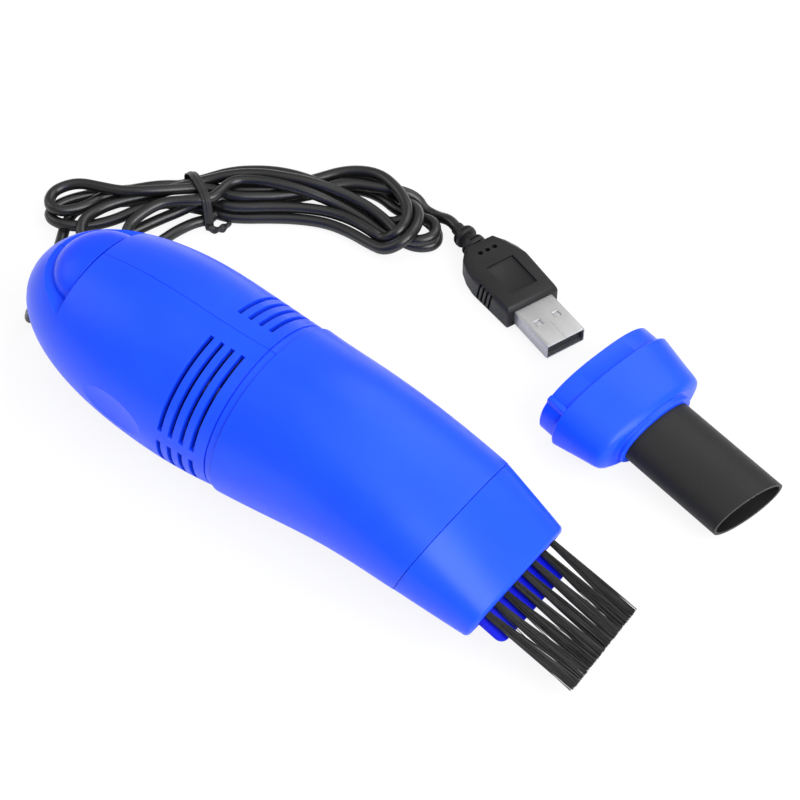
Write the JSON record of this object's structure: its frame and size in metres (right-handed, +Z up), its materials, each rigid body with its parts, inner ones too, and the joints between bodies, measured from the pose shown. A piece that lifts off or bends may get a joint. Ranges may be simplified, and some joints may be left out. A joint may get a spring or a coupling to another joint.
{
  "type": "desktop mini vacuum cleaner",
  "caption": "Small egg-shaped keyboard vacuum with side vents, slide switch, dust cup, brush nozzle, loose crevice tool and USB lead in a tied hank.",
  "frame": {"origin": "centre of the footprint of the vacuum and its loose crevice tool, on the floor they lie on; the lead and its plug are left out of that box", "axes": "+X from the tail towards the nozzle, +Y to the vacuum's left, where the lead and the crevice tool lie, +Z up"},
  "size_m": [0.2151, 0.1216, 0.046],
  "materials": {
    "blue_housing": "fine satin moulded ABS, royal blue",
    "blue_cup": "fine satin moulded ABS, royal blue",
    "blue_nozzle": "soft satin moulded plastic, royal blue",
    "blue_knob": "fine satin moulded ABS, royal blue",
    "blue_tongue": "satin moulded plastic, deep blue",
    "black_plastic": "plain moulded plastic",
    "steel_screw": "zinc-plated steel",
    "motor_steel": "drawn and plated steel can",
    "magnet": "sintered ferrite, dull",
    "white_nylon": "natural nylon",
    "copper": "tinned copper and brass strip",
    "bright_steel": "ground steel",
    "armature_steel": "stacked laminations",
    "grey_fan": "moulded acetal",
    "black_rubber": "soft moulded rubber",
    "red_wire": "thin wire insulation",
    "black_wire": "thin wire insulation",
    "filter_cloth": "non-woven filter cloth",
    "bristles": "stiff nylon filaments, black",
    "tube_rubber": "smooth satin rubber, black",
    "cord_jacket": "soft round PVC jacket, satin black",
    "tie_plastic": "plastic-covered wire tie, black",
    "plug_moulding": "moulded PVC, semi-matt black",
    "usb_steel": "nickel-plated pressed steel",
    "usb_insulator": "white plastic tongue",
    "contact_gold": "gold-plated contact strips"
  },
  "bodies": {
    "vacuum_body": {"housing_right": "blue_housing", "housing_left": "blue_housing", "housing_screws": "steel_screw", "inlet_grille": "black_plastic", "motor_can": "motor_steel", "motor_magnets": "magnet", "motor_end_cap": "white_nylon", "motor_terminals": "copper", "fan_plate": "black_plastic", "motor_screws": "steel_screw", "switch_body": "black_plastic", "switch_pins": "copper", "strain_relief": "black_rubber", "wire_supply": "red_wire", "wire_switched": "red_wire", "wire_ground": "black_wire", "cord_lead": "cord_jacket", "cord_hank": "cord_jacket", "cord_tie": "tie_plastic", "cord_tail": "cord_jacket", "plug_relief": "plug_moulding", "plug_overmould": "plug_moulding", "usb_shell": "usb_steel", "usb_tongue": "usb_insulator", "usb_contacts": "contact_gold"},
    "rotor": {"motor_shaft": "bright_steel", "armature": "armature_steel", "fan": "grey_fan"},
    "power_slider": {"power_knob": "blue_knob", "switch_lever": "white_nylon"},
    "cup": {"dust_cup": "blue_cup"},
    "filter": {"filter_frame": "white_nylon", "filter_cloth": "filter_cloth"},
    "nozzle": {"brush_nozzle": "blue_nozzle", "bristle_holder": "blue_tongue", "bristle_tuft_1": "bristles", "bristle_tuft_2": "bristles", "bristle_tuft_3": "bristles", "bristle_tuft_4": "bristles", "bristle_tuft_5": "bristles", "bristle_tuft_6": "bristles", "bristle_tuft_7": "bristles", "bristle_tuft_8": "bristles"},
    "crevice_tool": {"crevice_collar": "blue_nozzle", "crevice_tube": "tube_rubber"}
  },
  "joints": [
    {"name": "fan_spin", "type": "hinge", "parent": "vacuum_body", "child": "rotor", "pos_m": [-0.01572, -0.02977, 0.02238], "axis": [0.9962, 0, -0.0872], "continuous": true},
    {"name": "power_slide", "type": "slide", "parent": "vacuum_body", "child": "power_slider", "axis": [-0.9962, 0, 0.0872], "range_m": [0, 0.002]},
    {"name": "dust_cup_pull", "type": "slide", "parent": "vacuum_body", "child": "cup", "axis": [0.9962, 0, -0.0872], "range_m": [0, 0.02]},
    {"name": "filter_pull", "type": "slide", "parent": "vacuum_body", "child": "filter", "axis": [0.9962, 0, -0.0872], "range_m": [0, 0.006]},
    {"name": "nozzle_pull", "type": "slide", "parent": "cup", "child": "nozzle", "axis": [0.9455, 0, -0.3256], "range_m": [0, 0.012]},
    {"name": "crevice_tool_lift", "type": "slide", "parent": "vacuum_body", "child": "crevice_tool", "axis": [0, 0, 1], "range_m": [0, 0.04]}
  ]
}
